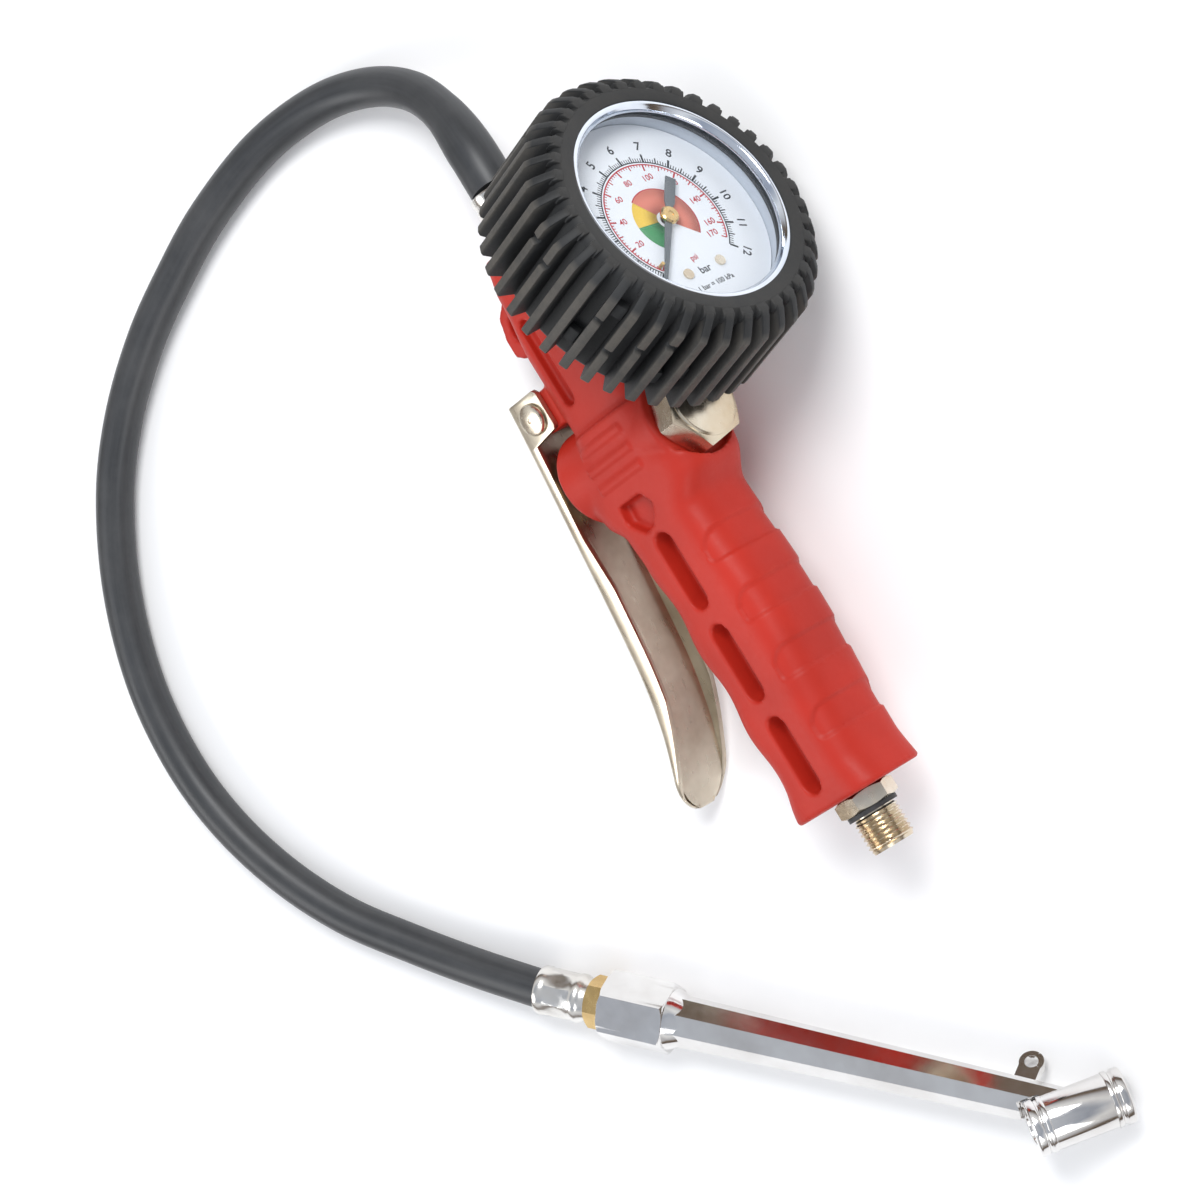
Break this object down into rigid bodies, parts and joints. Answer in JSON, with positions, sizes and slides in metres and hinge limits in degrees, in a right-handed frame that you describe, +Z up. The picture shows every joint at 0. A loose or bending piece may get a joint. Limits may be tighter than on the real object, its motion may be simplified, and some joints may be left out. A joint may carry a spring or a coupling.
{
  "type": "tyre inflator with gauge",
  "caption": "Hand tyre inflator gun with a rubber-booted dial gauge, squeeze lever, short air hose and twin-foot valve connector",
  "frame": {"origin": "middle of the gun's footprint, on the bench it lies on", "axes": "+X runs down the grip to the air inlet, +Y to the gauge side, +Z up from the bench"},
  "size_m": [0.3546, 0.262, 0.0881],
  "materials": {
    "grip": "matte moulded red plastic with a fine grain",
    "cast": "die-cast alloy, as cast",
    "nickel": "nickel plate, lightly worn",
    "chrome": "polished chrome plate",
    "lever": "nickel-plated pressed steel",
    "spring": "drawn steel",
    "ferrule": "crimped bright alloy",
    "brass": "turned brass",
    "seal": "black nitrile rubber",
    "hose": "smooth black rubber cover with a low sheen",
    "boot": "moulded black rubber",
    "case": "black painted steel",
    "dial": "white enamelled plate with printed scales",
    "pointer": "dark grey paint",
    "bezel": "bright rolled ring",
    "lens": "clear pressed lens"
  },
  "bodies": {
    "gun": {"grip_body": "grip", "valve_core": "cast", "inlet_fitting": "nickel", "inlet_seal": "seal", "inlet_filter": "brass", "cap_nut": "nickel", "cap_seal": "seal", "valve_spring": "spring", "gland_nut": "nickel", "stem_seal": "seal", "lever_pin": "chrome", "pin_clip": "spring", "hose_adapter": "nickel", "adapter_seal": "seal", "hose_ferrule_gun": "nickel", "hose": "hose", "hose_ferrule_end": "ferrule", "hose_nut": "brass", "connector_body": "chrome", "socket_cap_rear": "chrome", "socket_cap_front": "chrome", "socket_seal_rear": "seal", "socket_seal_front": "seal", "depressor_spring_rear": "spring", "depressor_spring_front": "spring", "gauge_boot": "boot", "gauge_case": "case", "gauge_stem": "brass", "gauge_seal": "seal", "bourdon_tube": "brass", "tube_tip": "brass", "link_bar": "spring", "movement_frame": "brass", "hairspring": "spring", "dial_plate": "dial", "dial_screws": "spring", "stop_pin": "spring", "lens_gasket": "seal", "bezel_ring": "bezel", "lens": "lens"},
    "lever": {"trigger_lever": "lever"},
    "stem": {"valve_stem": "spring", "valve_poppet": "brass", "poppet_seal": "seal"},
    "sector": {"sector_gear": "brass"},
    "pointer": {"pinion": "brass", "pointer": "pointer", "pointer_hub": "brass"},
    "rear_depressor": {"depressor_rear": "brass"},
    "front_depressor": {"depressor_front": "brass"}
  },
  "joints": [
    {"name": "lever_pivot", "type": "hinge", "parent": "gun", "child": "lever", "pos_m": [-0.041, -0.02886, 0.02122], "axis": [0, -0.3746, 0.9272], "range_deg": [0, 7.5], "stiffness_Nm_per_rad": 0.9, "springref_deg": -25.78},
    {"name": "stem_slide", "type": "slide", "parent": "gun", "child": "stem", "axis": [0, 0.9272, 0.3746], "range_m": [0, 0.0029], "deforming": ["valve_spring"]},
    {"name": "sector_pivot", "type": "hinge", "parent": "gun", "child": "sector", "pos_m": [-0.0694, 0.02326, 0.04228], "axis": [-0.1736, 0.9131, 0.3689], "range_deg": [0, 30], "stiffness_Nm_per_rad": 0.01, "springref_deg": -17.19},
    {"name": "pointer_turn", "type": "hinge", "parent": "gun", "child": "pointer", "pos_m": [-0.06198, 0.03766, 0.0481], "axis": [0.1736, -0.9131, -0.3689], "range_deg": [0, 270]},
    {"name": "rear_depressor_slide", "type": "slide", "parent": "gun", "child": "rear_depressor", "axis": [0.1843, 0.8596, -0.4766], "range_m": [0, 0.0015], "stiffness_N_per_m": 300, "springref_m": -0.002, "deforming": ["depressor_spring_rear"]},
    {"name": "front_depressor_slide", "type": "slide", "parent": "gun", "child": "front_depressor", "axis": [-0.1843, -0.8596, 0.4766], "range_m": [0, 0.0015], "stiffness_N_per_m": 300, "springref_m": -0.002, "deforming": ["depressor_spring_front"]}
  ],
  "couplings": [
    {"joint": "stem_slide", "follows": "lever_pivot", "m_per_rad": 0.0215},
    {"joint": "pointer_turn", "follows": "sector_pivot", "ratio": 9}
  ]
}
